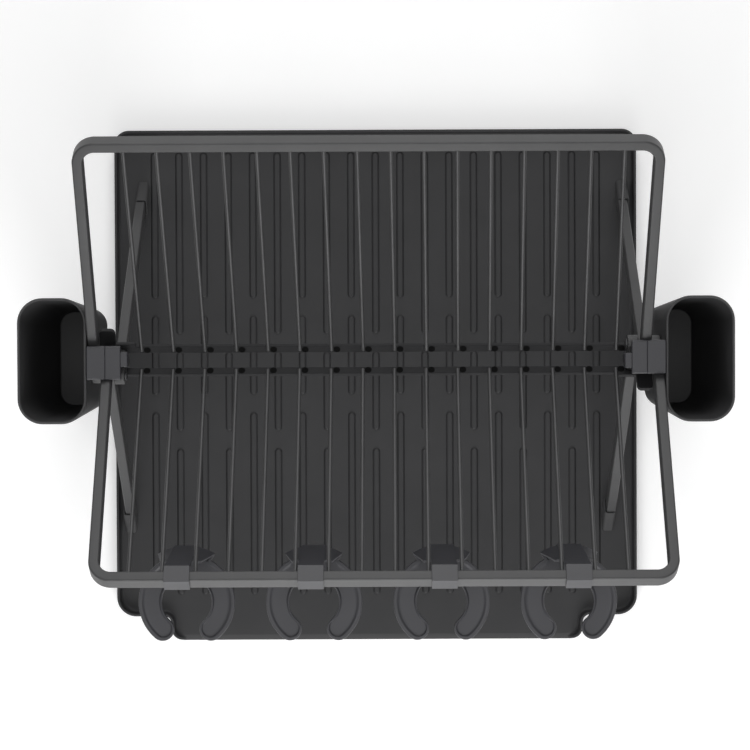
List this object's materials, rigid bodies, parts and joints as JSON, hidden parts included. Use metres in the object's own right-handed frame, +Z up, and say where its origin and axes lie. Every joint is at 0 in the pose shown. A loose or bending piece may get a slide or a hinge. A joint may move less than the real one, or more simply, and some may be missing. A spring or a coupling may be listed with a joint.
{
  "type": "folding dish rack",
  "caption": "Folding dish rack: crossed rod frames standing in a ribbed drip tray, with hook-on cutlery baskets and clip-on stemware holders.",
  "frame": {"origin": "centre of the rack's outline at the height of the drip tray's underside", "axes": "+X across the rack towards the right basket, +Y to the rear, away from the stemware holders and the pouring lip, +Z up"},
  "size_m": [0.5398, 0.4246, 0.2849],
  "materials": {
    "frame_paint": "fine satin powder coat, anthracite grey",
    "rod_paint": "fine satin powder coat, anthracite grey",
    "pin_steel": "darkened satin steel",
    "tray_plastic": "matt moulded plastic, dark grey",
    "basket_plastic": "matt moulded plastic, dark grey",
    "crossbar_plastic": "satin moulded plastic, near black",
    "clip_plastic": "satin moulded plastic, dark grey",
    "foot_rubber": "matt rubber, dark grey"
  },
  "bodies": {
    "tray": {"drip_tray": "tray_plastic"},
    "axle": {"left_pivot_pin": "pin_steel", "right_pivot_pin": "pin_steel"},
    "rear_frame": {"rear_loop": "frame_paint", "rear_crossbar": "crossbar_plastic", "rear_middle_leg": "frame_paint", "rear_inner_leg": "frame_paint", "rear_rod_1": "rod_paint", "rear_rod_2": "rod_paint", "rear_rod_3": "rod_paint", "rear_rod_4": "rod_paint", "rear_rod_5": "rod_paint", "rear_rod_6": "rod_paint", "rear_rod_7": "rod_paint", "rear_rod_8": "rod_paint", "rear_rod_9": "rod_paint", "rear_rod_10": "rod_paint", "rear_rod_11": "rod_paint", "rear_rod_12": "rod_paint", "rear_rod_13": "rod_paint", "rear_rod_14": "rod_paint", "rear_rod_15": "rod_paint", "rear_rod_16": "rod_paint", "rear_lap_rivet": "pin_steel", "rear_tail_rivet": "pin_steel", "rear_middle_foot": "foot_rubber", "rear_inner_foot": "foot_rubber"},
    "front_frame": {"front_loop": "frame_paint", "front_crossbar": "crossbar_plastic", "front_middle_leg": "frame_paint", "front_inner_leg": "frame_paint", "front_rod_1": "rod_paint", "front_rod_2": "rod_paint", "front_rod_3": "rod_paint", "front_rod_4": "rod_paint", "front_rod_5": "rod_paint", "front_rod_6": "rod_paint", "front_rod_7": "rod_paint", "front_rod_8": "rod_paint", "front_rod_9": "rod_paint", "front_rod_10": "rod_paint", "front_rod_11": "rod_paint", "front_rod_12": "rod_paint", "front_rod_13": "rod_paint", "front_rod_14": "rod_paint", "front_rod_15": "rod_paint", "front_rod_16": "rod_paint", "front_lap_rivet": "pin_steel", "front_tail_rivet": "pin_steel", "front_middle_foot": "foot_rubber", "front_inner_foot": "foot_rubber"},
    "left_basket": {"left_basket": "basket_plastic", "left_basket_hook": "clip_plastic"},
    "right_basket": {"right_basket": "basket_plastic", "right_basket_hook": "clip_plastic"},
    "holder_1": {"stemware_holder_1": "clip_plastic"},
    "holder_2": {"stemware_holder_2": "clip_plastic"},
    "holder_3": {"stemware_holder_3": "clip_plastic"},
    "holder_4": {"stemware_holder_4": "clip_plastic"}
  },
  "joints": [
    {"name": "frame_fold", "type": "hinge", "parent": "axle", "child": "rear_frame", "pos_m": [0, 0.02425, 0.1735], "axis": [1, 0, 0], "range_deg": [0, 45]},
    {"name": "front_fold", "type": "hinge", "parent": "axle", "child": "front_frame", "pos_m": [0, 0.02425, 0.1735], "axis": [-1, 0, 0], "range_deg": [0, 45]},
    {"name": "rack_rise", "type": "slide", "parent": "tray", "child": "axle", "axis": [0, 0, 1], "range_m": [0, 0.122]},
    {"name": "left_basket_rise", "type": "slide", "parent": "axle", "child": "left_basket", "axis": [0, 0, 1], "range_m": [0, 0.0834]},
    {"name": "right_basket_rise", "type": "slide", "parent": "axle", "child": "right_basket", "axis": [0, 0, 1], "range_m": [0, 0.0834]},
    {"name": "holder_1_lift", "type": "slide", "parent": "front_frame", "child": "holder_1", "axis": [0, 0, 1], "range_m": [0, 0.012]},
    {"name": "holder_2_lift", "type": "slide", "parent": "front_frame", "child": "holder_2", "axis": [0, 0, 1], "range_m": [0, 0.012]},
    {"name": "holder_3_lift", "type": "slide", "parent": "front_frame", "child": "holder_3", "axis": [0, 0, 1], "range_m": [0, 0.012]},
    {"name": "holder_4_lift", "type": "slide", "parent": "front_frame", "child": "holder_4", "axis": [0, 0, 1], "range_m": [0, 0.012]}
  ],
  "couplings": [
    {"joint": "front_fold", "follows": "frame_fold", "ratio": 1},
    {"joint": "rack_rise", "follows": "frame_fold", "m_per_rad": 0.155},
    {"joint": "left_basket_rise", "follows": "frame_fold", "m_per_rad": 0.106},
    {"joint": "right_basket_rise", "follows": "frame_fold", "m_per_rad": 0.106}
  ]
}
